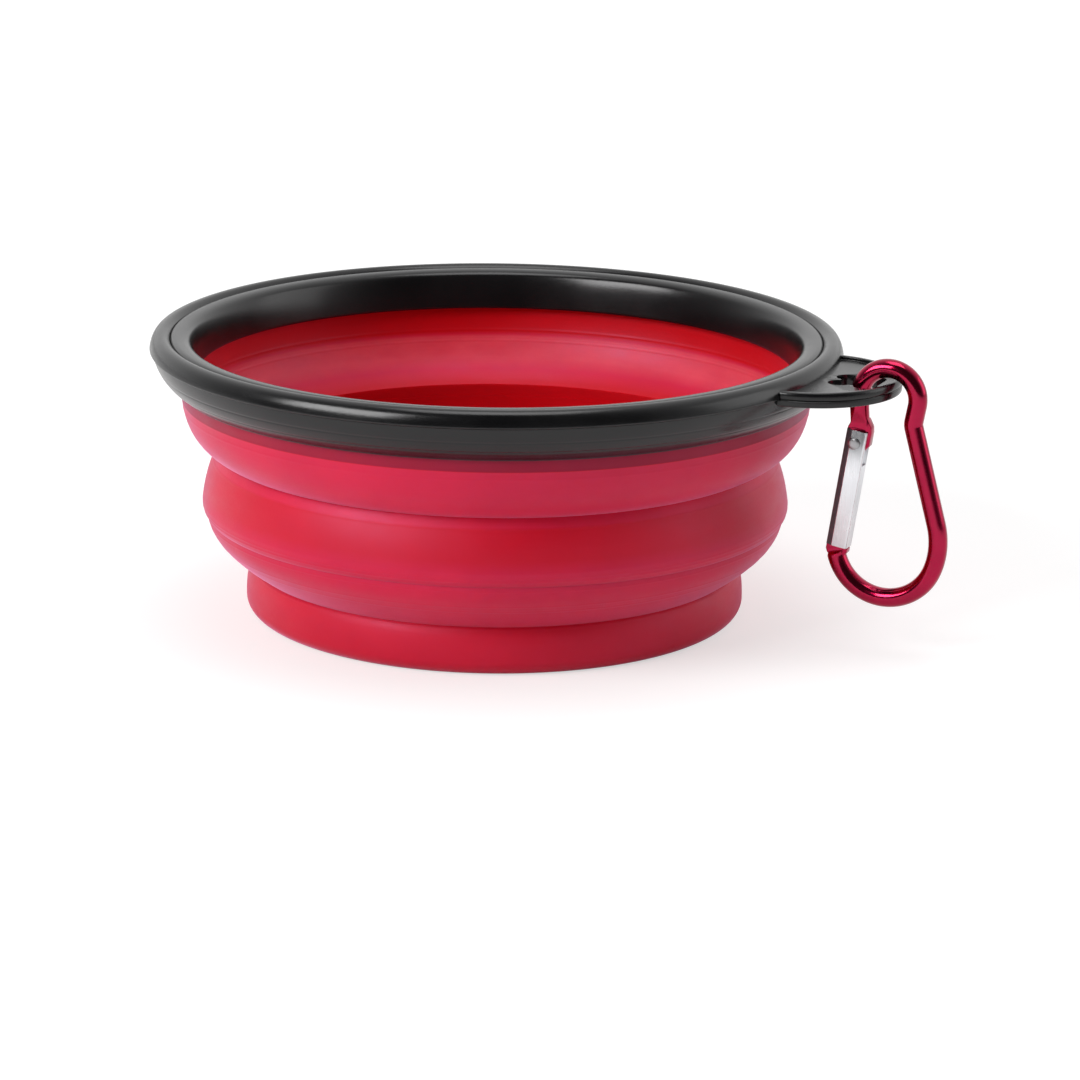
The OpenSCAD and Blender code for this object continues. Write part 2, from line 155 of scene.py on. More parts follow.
# Heights of the fine mould lines on the silicone
WEB_LINE_Z = 41.1
WEB_1_LINES = (WEB_LINE_Z, 39.6)
WEB_1_IN_LINES = (WEB_LINE_Z - 0.4, 38.6)
BAND_LINES = (29.2, 20.6, 19.9)
BAND_IN_LINES = (28.5, 25.8)
WEB_2_LINES = (17.9, 14.6, 13.4)
BASE_LINES = (8.6,)
LINE_H = 0.05
WEB_IN_LINE_H = 0.06

# Hanging tab. The groove's pairs are its depth, and the height from the middle of the tab's edge
TAB_R = 16.6
TAB_X = TAB_TIP - TAB_R
TAB_TOP = SKIRT_Z + 8.4
TAB_T = 2.8
TAB_LOW = TAB_TOP - TAB_T
TAB_LIP = 1.2
TAB_RECESS = 0.7
TAB_BEVEL = 0.5
TAB_GROOVE = ((0, -0.3), (0.25, -0.1), (0.05, 0.15), (0, 0.3))
TAB_LIP_ROUND = 0.25
TAB_PLATE_ROUND = 0.2
TAB_SOFT = 0.14
TAB_ROOT = SEAM_R + 0.4
BAR_W = 3.2
HOLE_L = 9.2
HOLE_OUT_X = TAB_TIP - BAR_W
HOLE_IN_X = HOLE_OUT_X - HOLE_L
LOBE_R = 2.1
LOBE_INNER_Y = 2.4
LOBE_OUTER_Y = 2.9
HOLE_HALF_W = 3.3
HOLE_CUSP = 1.6

# Snap hook
ROD_R = 1.75
LOOP_C = (BAR.x, BAR.z - 1.7696)
LOOP_R = 5.5
LEG_X = LOOP_C[0] - LOOP_R
BEND_C = (LOOP_C[0] + 0.4, LOOP_C[1] - 27.7)
BEND_R = 9.7
NOSE_A = 195
SWEEP_A = -20
SWEEP_R = 14.0
WAIST = (LOOP_C[0] + LOOP_R - 0.7, LOOP_C[1] - 4.4)
WAIST_R = 2.6
LEG_DROPS = (1, 2.2)
TONGUE_T = 1.9
TONGUE_R = 1.6
TONGUE_BEVEL = 0.12
PRESS_IN = 0.03
SHOULDER_LOW = 3.4
SHOULDER_TOP = 4.8
SHOULDER_IN = 0.3
HEEL_UP = 0.2
EAR_X = 2.625
EAR_Z = -0.1
EAR_IN = 0.2
CAM_X = 1.925
CAM_Z = -1.2

# Gate, in its own frame: origin on the rivet, X to the inside of the hook, Z up along the gate
GATE_LEFT = -1.975
GATE_RIGHT = 2.075
GATE_T = 3.4
GATE_LOW = -19.9501
GATE_RISE = 2.4
GATE_FACET = 1.2
GATE_CORNER = 0.3
GATE_ROUND = 0.16
GATE_SOFT = 0.1
# Range of normal X, in the gate's frame, of the left facets that get a painted shade
SHADED_FACET_NORMALS = (-0.9, -0.3)
SLOT_W = 2.1
SLOT_Z = -4.1
SLOT_MARGIN = 0.1
NOSE_SLOT = 2.2
NOSE_WALL = 0.8
NOSE_GAP = 1.0
NOSE_SHOULDER = 0.8
NOSE_IN = 0.2
NOSE_STEP = 0.2
NOSE_PLAY = 0.1
NOSE_TIP_GAP = 0.3
NOSE_TIP_IN = 0.3
SPRING_X = 0.975
SPRING_R = 0.54
SPRING_WIRE = 0.3
SPRING_TURNS = 7
SPRING_LOW = -9.05
SPRING_TOP = -1.8
BORE_R = 0.8
BORE_DEPTH = 5
PLUNGER_TOP = -1.25
PLUNGER_H = 0.5
PLUNGER_R = 0.69
PLUNGER_BEVEL = 0.06
PLUNGER_ROUND = (0.15, 0.12)
STEM_L = 2.4
STEM_R = 0.25
STEM_BEVEL = 0.08
RIVET_D = 1.4
RIVET_GAP = 0.025
RIVET_HEAD_D = 2.3
RIVET_HEAD_H = 0.5
RIVET_BEVEL = (0.05, 0.08)
DOME_LOW = 0.2
DOME_BEND = (0.12, 0.04)
DOME_FLAT_R = 0.35
DOME_DENT = 0.05


def arc(centre, radius, start, end, steps):
    """Points along an arc between two angles in degrees."""
    angles = [math.radians(start + (end - start) * i / steps) for i in range(steps + 1)]
    return [(centre[0] + radius * math.cos(a), centre[1] + radius * math.sin(a)) for a in angles]


def curve(p, q, s, steps):
    """Points along a curve from p to s that leaves and arrives on its lines through q."""
    shares = [i / steps for i in range(steps + 1)]
    return [tuple((1 - t) ** 2 * a + 2 * t * (1 - t) * b + t * t * c for a, b, c in zip(p, q, s))
            for t in shares]


def rounded(points, size, steps=4):
    """A closed outline with each corner rounded over a length of about size."""
    result = []
    for i, point in enumerate(points):
        corner = Vector(point)
        before = Vector(points[i - 1]) - corner
        after = Vector(points[(i + 1) % len(points)]) - corner
        start = corner + before.normalized() * min(size, 0.45 * before.length)
        end = corner + after.normalized() * min(size, 0.45 * after.length)
        result += curve(tuple(start), tuple(corner), tuple(end), steps)
    return result


def revolve(profile, segments=SEGMENTS, closed=True):
    """Vertices and faces of a profile of (radius, height) points turned about the Z axis."""
    verts, rows, faces = [], [], []
    for radius, height in profile:
        if radius < 1e-6:
            rows.append([len(verts)] * segments)
            verts.append((0, 0, height))
            continue
        rows.append(list(range(len(verts), len(verts) + segments)))
        for k in range(segments):
            a = 2 * math.pi * k / segments
            verts.append((radius * math.cos(a), radius * math.sin(a), height))
    for i in range(len(rows) if closed else len(rows) - 1):
        low, high = rows[i], rows[(i + 1) % len(rows)]
        for k in range(segments):
            n = (k + 1) % segments
            faces.append(list(dict.fromkeys((low[k], low[n], high[n], high[k]))))
    return verts, faces


def tube(rings):
    """Vertices and faces of a closed tube through rings with the same number of points."""
    sides = len(rings[0])
    verts = [point for ring in rings for point in ring]
    faces = [list(range(sides))[::-1], list(range(len(verts) - sides, len(verts)))]
    for i in range(len(rings) - 1):
        for k in range(sides):
            n = (k + 1) % sides
            faces.append([i * sides + k, i * sides + n, (i + 1) * sides + n, (i + 1) * sides + k])
    return verts, faces


def prism(outline, low, high):
    """Vertices and faces of an outline of (x, y) points pulled up from low to high."""
    return tube([[(x, y, z) for x, y in outline] for z in (low, high)])


def shape(name, verts, faces):
    """A new object, still in millimetres, with its faces turned outwards."""
    mesh = bpy.data.meshes.new(name)
    mesh.from_pydata([tuple(v) for v in verts], [], faces)
    form = bmesh.new()
    form.from_mesh(mesh)
    bmesh.ops.recalc_face_normals(form, faces=form.faces)
    form.to_mesh(mesh)
    form.free()
    obj = bpy.data.objects.new(name, mesh)
    bpy.context.scene.collection.objects.link(obj)
    return obj


def apply_modifiers(obj):
    graph = bpy.context.evaluated_depsgraph_get()
    mesh = bpy.data.meshes.new_from_object(obj.evaluated_get(graph))
    obj.modifiers.clear()
    obj.data = mesh


def combine(obj, other, operation):
    """Joins other to obj, or cuts it from obj, and deletes other."""
    step = obj.modifiers.new("combine", "BOOLEAN")
    step.operation = operation
    step.solver = "EXACT"
    step.object = other
    apply_modifiers(obj)
    bpy.data.objects.remove(other)


def soften(obj, width, angle=40, segments=2):
    """Rounds every edge that is sharper than angle."""
    step = obj.modifiers.new("soften", "BEVEL")
    step.width = width
    step.segments = segments
    step.limit_method = "ANGLE"
    step.angle_limit = math.radians(angle)
    apply_modifiers(obj)


def finish_piece(obj, material, nodes, sharp=35):
    """Brings a shape to metres, shades it and lets it stand for its CAD nodes."""
    obj.data.transform(Matrix.Scale(MM, 4))
    obj.data.shade_smooth()
    obj.data.set_sharp_from_angle(angle=math.radians(sharp))
    obj.data.materials.clear()
    obj.data.materials.append(material)
    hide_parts(*nodes)
    return obj


def to_gate(obj):
    """Moves a shape from the gate's own frame to its place on the hook."""
    obj.data.transform(Matrix.Translation(RIVET) @ Matrix.Rotation(GATE_LEAN, 4, "Y"))


def gate_point(x, z):
    """A point of the gate's frame as (x, z) in the object's frame."""
    return (RIVET.x + x * math.cos(GATE_LEAN) + z * math.sin(GATE_LEAN),
            RIVET.z + z * math.cos(GATE_LEAN) - x * math.sin(GATE_LEAN))


def mark(obj, name, domain, values):
    """Gives each point or face of a shape a number that its material reads."""
    data = obj.data.attributes.new(name, "FLOAT", domain).data
    for item, value in zip(data, values):
        item.value = value
    return obj


# Materials. Two numbers vary over a mesh. The silicone's level runs from a painted shade of deep red under
# the skirt through clear red to hazy and milky tones, which are partly its hazy finish and partly a
# painted sheen.
# The other marks the gate's left facets, which get a painted dark shade.
BLOOM_SHEEN_SHADE = "bloom_sheen_shade"
SKIRT_SHADE, CLEAR, DULL_SHEEN, MILKY_SHEEN = -0.5, 0.0, 0.5, 1.0
SHADED_FACET = "shaded_facet"


class Nodes:
    """A material's node tree, with short calls for the nodes used here."""

    def __init__(self, name):
        self.material = bpy.data.materials.new(name)
        self.material.use_nodes = True
        self.tree = self.material.node_tree
        self.shader = self.tree.nodes["Principled BSDF"]

    def set(self, **values):
        for socket, value in values.items():
            self.shader.inputs[socket.replace("_", " ")].default_value = value

    def add(self, kind, **settings):
        node = self.tree.nodes.new(kind)
        for name, value in settings.items():
            setattr(node, name, value)
        return node

    def link(self, source, target):
        self.tree.links.new(source, target)

    def place(self, scale=(1, 1, 1)):
        """The object's own coordinates, stretched by scale."""
        where = self.add("ShaderNodeTexCoord")
        mapping = self.add("ShaderNodeMapping")
        mapping.inputs["Scale"].default_value = scale
        self.link(where.outputs["Object"], mapping.inputs["Vector"])
        return mapping.outputs["Vector"]

    def noise(self, scale, detail=3.0, stretch=(1, 1, 1)):
        """Noise with scale cells in a metre."""
        node = self.add("ShaderNodeTexNoise")
        node.inputs["Scale"].default_value = scale
        node.inputs["Detail"].default_value = detail
        self.link(self.place(stretch), node.inputs["Vector"])
        return node.outputs["Fac"]

    def spread(self, value, low, high, start=0.3, end=0.7):
        """value from start to end becomes low to high."""
        node = self.add("ShaderNodeMapRange")
        node.inputs["From Min"].default_value = start
        node.inputs["From Max"].default_value = end
        node.inputs["To Min"].default_value = low
        node.inputs["To Max"].default_value = high
        self.link(value, node.inputs["Value"])
        return node.outputs["Result"]

    def math(self, operation, a, b):
        node = self.add("ShaderNodeMath", operation=operation)
        for socket, value in zip(node.inputs, (a, b)):
            if isinstance(value, (int, float)):
                socket.default_value = value
            else:
                self.link(value, socket)
        return node.outputs["Value"]

    def mix(self, factor, first, second):
        """Colours first and second mixed by factor."""
        node = self.add("ShaderNodeMix", data_type="RGBA")
        self.link(factor, node.inputs["Factor"])
        for socket, value in zip((node.inputs[6], node.inputs[7]), (first, second)):
            if isinstance(value, tuple):
                socket.default_value = (*value, 1)
            else:
                self.link(value, socket)
        return node.outputs[2]

    def bump(self, height, distance, strength=1.0, under=None):
        node = self.add("ShaderNodeBump")
        node.inputs["Strength"].default_value = strength
        node.inputs["Distance"].default_value = distance
        self.link(height, node.inputs["Height"])
        if under is not None:
            self.link(under, node.inputs["Normal"])
        return node.outputs["Normal"]

    def wear(self, color=None, roughness=None, normal=None):
        """Links what varies over the surface to the shader."""
        for socket, value in (("Base Color", color), ("Roughness", roughness), ("Normal", normal)):
            if value is not None:
                self.link(value, self.shader.inputs[socket])
        return self.material


def rim_plastic():
    """Black satin moulded plastic with a fine spark grain."""
    nodes = Nodes("rim_plastic")
    nodes.set(IOR=1.5, Specular_IOR_Level=0.48)
    cloud = nodes.noise(90, 4)
    grain = nodes.noise(3600, 2)
    color = nodes.mix(nodes.spread(cloud, 0, 1), (0.003, 0.003, 0.0035), (0.006, 0.006, 0.0065))
    roughness = nodes.math("ADD", nodes.spread(cloud, 0.20, 0.25), nodes.spread(grain, -0.03, 0.03))
    normal = nodes.bump(grain, 0.000014, 0.6)
    return nodes.wear(color, roughness, normal)


def silicone():
    """Satin red silicone: cloudy haze, fine mould lines and a soft grain, with painted sheen and shade."""
    nodes = Nodes("red_silicone")
    nodes.set(IOR=1.43, Specular_IOR_Level=0.6, Specular_Tint=(1, 0.6, 1, 1), Sheen_Weight=0.5,
              Sheen_Roughness=0.35, Sheen_Tint=(1, 0.6, 1, 1), Subsurface_Weight=0.5,
              Subsurface_Scale=0.002, Subsurface_Radius=(1.0, 0.04, 0.08))
    cloud = nodes.noise(55, 5)
    haze = nodes.noise(140, 4, (1, 1, 2.5))
    grain = nodes.noise(2600, 2)
    lines = nodes.noise(240, 2, (0.15, 0.15, 8))
    bloom_sheen_shade = nodes.add("ShaderNodeAttribute", attribute_name=BLOOM_SHEEN_SHADE).outputs["Fac"]
    # Dull tone: partly the silicone's hazy finish, partly a painted sheen standing in for its whitish
    # reflections
    dull_sheen = nodes.mix(nodes.spread(cloud, 0, 1), (0.60, 0.006, 0.040), (0.67, 0.010, 0.048))
    dull_sheen = nodes.mix(nodes.spread(haze, 0, 0.07, 0.5, 0.75), dull_sheen, (0.72, 0.04, 0.10))
    clear = nodes.mix(nodes.spread(cloud, 0, 1), (0.56, 0.0, 0.0), (0.62, 0.0, 0.003))
    # Milky tone for the inside: paler again, partly a hazy finish and partly a painted sheen
    milky_sheen = nodes.mix(nodes.spread(haze, 0, 1), (0.68, 0.045, 0.075), (0.74, 0.065, 0.095))
    # Painted shade: a darker red for the outside just under the skirt, where the skirt's shadow falls
    skirt_shade = nodes.mix(nodes.spread(cloud, 0, 1), (0.32, 0.0, 0.012), (0.36, 0.0, 0.016))
    # The level picks the painted skirt shade, clear red, the dull sheen or the milky sheen
    color = nodes.mix(nodes.spread(bloom_sheen_shade, 0, 1, SKIRT_SHADE, CLEAR), skirt_shade, clear)
    color = nodes.mix(nodes.spread(bloom_sheen_shade, 0, 1, CLEAR, DULL_SHEEN), color, dull_sheen)
    color = nodes.mix(nodes.spread(bloom_sheen_shade, 0, 1, DULL_SHEEN, MILKY_SHEEN), color, milky_sheen)
    roughness = nodes.math("ADD", nodes.spread(haze, 0.44, 0.54), nodes.spread(grain, -0.03, 0.03))
    fine = nodes.bump(grain, 0.000010, 0.5)
    normal = nodes.bump(lines, 0.000030, 0.35, fine)
    return nodes.wear(color, roughness, normal)


def dyed_aluminium():
    """Polished aluminium under a clear red anodised layer."""
    nodes = Nodes("red_anodised_aluminium")
    nodes.set(Metallic=1.0, Coat_Weight=0.35, Coat_Roughness=0.06, Coat_IOR=1.5)
    cloud = nodes.noise(160, 4)
    grain = nodes.noise(2200, 3)
    color = nodes.mix(nodes.spread(cloud, 0, 1), (0.36, 0.003, 0.040), (0.43, 0.005, 0.048))
    roughness = nodes.math("ADD", nodes.spread(cloud, 0.13, 0.19), nodes.spread(grain, -0.02, 0.03))
    normal = nodes.bump(grain, 0.000006, 0.5)
    return nodes.wear(color, roughness, normal)


def silver_aluminium():
    """Satin silver aluminium, drawn along its length, with a painted dark shade on the gate's left facets.
    """
    nodes = Nodes("silver_anodised_aluminium")
    nodes.set(Metallic=1.0)
    drawn = nodes.noise(4200, 3, (1, 1, 0.04))
    cloud = nodes.noise(220, 3)
    shaded_facet = nodes.add("ShaderNodeAttribute", attribute_name=SHADED_FACET).outputs["Fac"]
    flat = nodes.mix(nodes.spread(cloud, 0, 1), (0.80, 0.81, 0.84), (0.90, 0.90, 0.93))
    # Painted shade: the marked left facets are dark grey and rougher
    color = nodes.mix(shaded_facet, flat, (0.18, 0.185, 0.20))
    roughness = nodes.math("ADD", nodes.spread(cloud, 0.20, 0.27), nodes.spread(drawn, -0.03, 0.05))
    roughness = nodes.math("ADD", roughness, nodes.math("MULTIPLY", shaded_facet, 0.35))
    normal = nodes.bump(drawn, 0.000005, 0.6)
    return nodes.wear(color, roughness, normal)


def steel(name, dark, light, low, high):
    """Grey steel with a light tumbled texture."""
    nodes = Nodes(name)
    nodes.set(Metallic=1.0)
    cloud = nodes.noise(900, 4)
    color = nodes.mix(nodes.spread(cloud, 0, 1), dark, light)
    roughness = nodes.spread(cloud, low, high)
    normal = nodes.bump(cloud, 0.00002, 0.5)
    return nodes.wear(color, roughness, normal)


black = rim_plastic()
red = silicone()
hook_red = dyed_aluminium()
silver = silver_aluminium()
rivet_steel = steel("tumbled_steel", (0.34, 0.34, 0.35), (0.50, 0.50, 0.51), 0.28, 0.42)
spring_steel = steel("drawn_steel", (0.40, 0.40, 0.42), (0.58, 0.58, 0.60), 0.22, 0.34)


# Rim: the outer ring with its tab, and the inner ring
def outer_ring():
    crown = (RIM_R - ROLL_R - CROWN_IN, BOWL_H)
    edge = (RIM_R - EDGE_IN, LAND_Z + EDGE_R)
    skirt_top = (RIM_R - SKIRT_STEP, LAND_Z - STEP_DROP)
    land_edge = curve((RIM_R - EDGE_R, LAND_Z - EDGE_R / 2), (RIM_R, LAND_Z), edge, 5)
    roll = curve(edge, (RIM_R - ROLL_LEAN, BOWL_H), crown, 32)
    fall = curve(crown, (SEAM_R + ROLL_FALL, BOWL_H), (SEAM_R, LIP_Z), 14)
    low = (SKIRT_R, SKIRT_Z + SKIRT_FOOT[1])
    rise = (skirt_top[0] - low[0], skirt_top[1] - low[1])
    bow = (low[0] + SKIRT_BOW[0] * rise[0], low[1] + SKIRT_BOW[1] * rise[1])
    skirt = []
    for i, (r, z) in enumerate(curve(low, bow, skirt_top, SKIRT_STEPS)):
        share = i / SKIRT_STEPS
        dent = sum(math.exp(-((share - line) / SKIRT_LINE_W) ** 2) for line in SKIRT_LINES)
        skirt.append((r - SKIRT_LINE_DEPTH * dent, z))
    mouth_r = WEB_TOP_R + FIT
    mouth = [(mouth_r, LEDGE_Z), (mouth_r, SKIRT_Z + SKIRT_MOUTH[1]), (mouth_r + SKIRT_MOUTH[0], SKIRT_Z)]
    profile = (mouth + [(SKIRT_R - SKIRT_FOOT[0], SKIRT_Z)] + skirt
               + land_edge + roll[1:] + fall[1:] + [(SEAM_R, LEDGE_Z)])
    return shape("outer_rim_skin", *revolve(profile))


def hanging_tab():
    groove_z = (TAB_TOP + TAB_LOW) / 2
    edge = TAB_R - TAB_BEVEL
    plate_z = TAB_TOP - TAB_RECESS
    inner = TAB_R - TAB_LIP
    lip, plate = TAB_LIP_ROUND, TAB_PLATE_ROUND
    groove = [(TAB_R - depth, groove_z + up) for depth, up in TAB_GROOVE]
    profile = (
        [(0, TAB_LOW), (edge, TAB_LOW)]
        + curve((edge, TAB_LOW), (TAB_R, TAB_LOW), (TAB_R, TAB_LOW + TAB_BEVEL), 6)[1:]
        + groove[:-1] + curve(groove[-1], (TAB_R, TAB_TOP), (edge, TAB_TOP), 8)
        + curve((inner + lip, TAB_TOP), (inner, TAB_TOP), (inner, TAB_TOP - lip), 4)
        + curve((inner, plate_z + plate), (inner, plate_z), (inner - plate, plate_z), 4)
        + [(0, plate_z)])
    tab = shape("tab", *revolve(profile, 160, closed=False))
    tab.data.transform(Matrix.Translation((TAB_X, 0, 0)))
    below, above = TAB_LOW - OVERCUT, TAB_TOP + OVERCUT
    bowl = [(0, below), (TAB_ROOT, below), (TAB_ROOT, above), (0, above)]
    combine(tab, shape("clear", *revolve(bowl, SEGMENTS, closed=False)), "DIFFERENCE")
    middle = [(HOLE_IN_X + HOLE_CUSP, -HOLE_HALF_W), (HOLE_OUT_X, -HOLE_HALF_W),
              (HOLE_OUT_X, HOLE_HALF_W), (HOLE_IN_X + HOLE_CUSP, HOLE_HALF_W)]
    combine(tab, shape("hole", *prism(middle, below, above)), "DIFFERENCE")
    for side in (-1, 1):
        for x, y in ((HOLE_IN_X + LOBE_R, LOBE_INNER_Y), (HOLE_OUT_X - LOBE_R, LOBE_OUTER_Y)):
            lobe = arc((x, side * y), LOBE_R, 0, 360, 48)[:-1]
            combine(tab, shape("lobe", *prism(lobe, below, above)), "DIFFERENCE")
    soften(tab, TAB_SOFT, 50)
    return tab


def inner_ring():
    lip_r = SEAM_R - SEAM_GAP
    foot = (RING_IN_R + RING_ROUND, RING_LOW)
    face_low = (RING_IN_R, RING_LOW + RING_ROUND)
    profile = (
        [foot, (RING_OUT_R, RING_LOW), (RING_OUT_R, BEVEL_Z),
         (BEAD_IN_R - FIT, BEVEL_Z + BEVEL_H), (BEAD_IN_R - FIT, CAP_Z), (lip_r, CAP_Z)]
        + curve((lip_r, LIP_Z - RING_LIP[1]), (lip_r - RING_LIP[0], RING_CROWN[1]), RING_CROWN, 10)
        + curve(RING_CROWN, RING_CREST, RING_BROW, 24)[1:]
        + curve(RING_BROW, RING_FACE, face_low, 40)[1:]
        + curve(face_low, (RING_IN_R, RING_LOW), foot, 4)[1:-1])
    return shape("inner_rim_skin", *revolve(profile))


rim = outer_ring()
combine(rim, hanging_tab(), "UNION")
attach(finish_piece(rim, black, ["outer_rim"]), "rim")
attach(finish_piece(inner_ring(), black, ["inner_rim"]), "rim")


# Silicone in two pieces: the upper one runs from the rim to the middle band, the lower one from the band
# to the base.
# Each pair of heights is where the silicone's painted sheen and shade start to change and where they have
# changed.
# The band's outside: paler painted sheen on its upward-facing upper slope and downward-facing lower bulge,
# a clearer painted shade round its middle
BAND_MIDDLE_SHADE = 0.35
BAND_TOP = (28.9, 29.5)
BAND_LOW = (25.0, 21.5)
# The base is at half the dull tone, rising to the full dull tone at its top
BASE_BLOOM = 0.5
BASE_TOP = (8.4, 10.4)
# Inside, the milky tone with its painted sheen lies between these lines, with clear red above and below
MILKY_TOP = (40.3, 39.3)
MILKY_LOW = (31.5, 35.5)


def fade(value, start, end):
    """From 0 at start to 1 at end, and level beyond them."""
    return min(max((value - start) / (end - start), 0.0), 1.0)


def with_lines(points, heights, depth, width=0.16):
    """Lets fine raised mould lines run round a wall at these heights."""
    return [(r + depth * sum(math.exp(-((z - h) / width) ** 2) for h in heights), z) for r, z in points]


def upper_silicone():
    web_out = curve((WEB_TOP_R, SKIRT_Z), (WEB_TOP_R, WEB_1_BEND_Z), (NECK_1_R, NECK_1_Z), 90)
    web_in = curve((CLAMP_R, SKIRT_Z), (CLAMP_R, WEB_1_BEND_IN_Z), (NECK_1_R - BAND_T, NECK_1_Z), 90)
    swell = curve((NECK_1_R, NECK_1_Z), SWELL_BEND, (BULGE_R, BULGE_Z), 60)
    turn = curve((BULGE_R, BULGE_Z), (BULGE_R, BULGE_BEND_Z), (CREASE_R, CREASE_Z), 24)
    band_out = swell[1:] + turn[1:]
    band_in = [(r - BAND_T, z) for r, z in band_out]
    out = with_lines(web_out, WEB_1_LINES, LINE_H) + with_lines(band_out, BAND_LINES, LINE_H)
    out.reverse()
    inside = (with_lines(web_in, WEB_1_IN_LINES, -WEB_IN_LINE_H)
              + with_lines(band_in, BAND_IN_LINES, -LINE_H))
    flange = [(WEB_TOP_R, LEDGE_Z + FIT), (BEAD_R, LEDGE_Z + FIT), (BEAD_R, BEAD_TOP_Z),
              (BEAD_IN_R, BEAD_TOP_Z), (BEAD_IN_R, BEVEL_Z + BEVEL_H), (CLAMP_R, BEVEL_Z)]
    wall = shape("silicone_upper", *revolve(out + flange + inside))
    # The outside: painted sheen on the webs and on the band's upper slope and lower bulge, painted shade
    # round the band's middle
    band = [max(BAND_MIDDLE_SHADE, fade(z, *BAND_TOP), fade(z, *BAND_LOW)) for _, z in out]
    # Just under the skirt the outside takes the painted skirt shade
    outside_sheen_shade = [DULL_SHEEN * share if z < WEB_LINE_Z else SKIRT_SHADE for share, (_, z) in zip(band, out)]
    inside_milky_sheen = [MILKY_SHEEN * min(fade(z, *MILKY_TOP), fade(z, *MILKY_LOW)) for _, z in inside]
    sheen_shade_levels = outside_sheen_shade + [CLEAR] * len(flange) + inside_milky_sheen
    return mark(wall, BLOOM_SHEEN_SHADE, "POINT", [bloom_sheen_shade for bloom_sheen_shade in sheen_shade_levels for _ in range(SEGMENTS)])


def lower_silicone():
    inner_crease = (CREASE_R - BAND_T, CREASE_Z)
    inner_neck = (NECK_2_R - BAND_T, NECK_2_Z)
    in_r = BASE_R - BAND_T
    web_out = curve((CREASE_R, CREASE_Z), (CREASE_R, WEB_2_BEND_Z), (NECK_2_R, NECK_2_Z), 80)
    web_in = curve(inner_crease, WEB_2_BEND_IN, inner_neck, 80)
    side = curve((NECK_2_R, NECK_2_Z), (BASE_R, BASE_BEND_Z), (BASE_R, FOOT_R), 40)
    foot = arc((BASE_R - FOOT_R, FOOT_R), FOOT_R, 0, -90, 18)
    side_in = curve(inner_neck, (in_r, BASE_BEND_Z), (in_r, FLOOR_T + FLOOR_R), 30)
    floor_turn = arc((in_r - FLOOR_R, FLOOR_T + FLOOR_R), FLOOR_R, 0, -90, 12)
    out = (with_lines(web_out, WEB_2_LINES, LINE_H) + with_lines(side[1:], BASE_LINES, LINE_H)
           + foot[1:])
    inside = web_in + side_in[1:] + floor_turn[1:]
    profile = ([(0, 0)] + [(r, 0) for r in FLOOR_RINGS[::-1]] + out[::-1] + inside
               + [(r, FLOOR_T) for r in FLOOR_RINGS] + [(0, FLOOR_T)])
    wall = shape("silicone_lower", *revolve(profile, closed=False))
    # The base's level: half the dull tone, rising to the full dull tone at its top
    shares = [fade(point.co.z, *BASE_TOP) for point in wall.data.vertices]
    return mark(wall, BLOOM_SHEEN_SHADE, "POINT", [DULL_SHEEN * (BASE_BLOOM + (1 - BASE_BLOOM) * share) for share in shares])


bowl_top = finish_piece(upper_silicone(), red,
                        ["silicone_flange", "upper_web", "middle_band"], 30)
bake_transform(bowl_top)
bowl_low = finish_piece(lower_silicone(), red, ["lower_web", "base_cup"], 30)
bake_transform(bowl_low)


# Snap hook
def hook_path():
    """The rod's centreline in X and Z, from the nose round to the tongue."""
    sweep_c = tuple(BEND_C[i] - (SWEEP_R - BEND_R) * f(math.radians(SWEEP_A))
                    for i, f in enumerate((math.cos, math.sin)))
    to_sweep = Vector(WAIST) - Vector(sweep_c)
    to_loop = Vector(WAIST) - Vector(LOOP_C)
    spine_a = math.degrees(math.atan2(to_sweep.y, to_sweep.x) - math.acos(SWEEP_R / to_sweep.length))
    upper_a = math.degrees(math.atan2(to_loop.y, to_loop.x) + math.acos(LOOP_R / to_loop.length))
    spine = math.radians(spine_a)
    spine_low = Vector(sweep_c) + SWEEP_R * Vector((math.cos(spine), math.sin(spine)))
    cut = WAIST_R * math.tan(math.radians(spine_a - upper_a) / 2)
    spine_top = Vector(WAIST) - cut * (Vector(WAIST) - spine_low).normalized()
    waist_c = spine_top + WAIST_R * Vector((math.cos(spine), math.sin(spine)))
    straight = [tuple(spine_low.lerp(spine_top, i / 12)) for i in range(1, 12)]
    return (
        arc(BEND_C, BEND_R, NOSE_A, 360 + SWEEP_A, 60)
        + arc(sweep_c, SWEEP_R, SWEEP_A, spine_a, 16)[1:] + straight
        + arc(waist_c, WAIST_R, 180 + spine_a, 180 + upper_a, 12)
        + arc(LOOP_C, LOOP_R, upper_a, 180, 64)
        + [(LEG_X, LOOP_C[1] - drop) for drop in LEG_DROPS])


def rod(points, halves, straight_ends, sides=40):
    """A round rod along points in X and Z, pressed flat to a half thickness at each."""
    last = len(points) - 1
    rings = []
    for i, point in enumerate(points):
        at = min(max(i, straight_ends + 1), last - straight_ends - 1)
        along = (Vector(points[at + 1]) - Vector(points[at - 1])).normalized()
        ring = []
        for k in range(sides):
            a = 2 * math.pi * (k + 0.5) / sides
            across = ROD_R * math.cos(a)
            depth = max(-halves[i], min(halves[i], ROD_R * math.sin(a)))
            ring.append((point[0] + across * along.y, depth, point[1] - across * along.x))
        rings.append(ring)
    return rings


def slab(outline, thickness, bevel):
    """A flat plate in X and Z with bevelled edges, in the gate's frame."""
    plate = shape("plate", *prism(outline, -thickness / 2, thickness / 2))
    plate.data.transform(Matrix.Rotation(math.pi / 2, 4, "X"))
    soften(plate, bevel, 35, 3)
    to_gate(plate)
    return plate


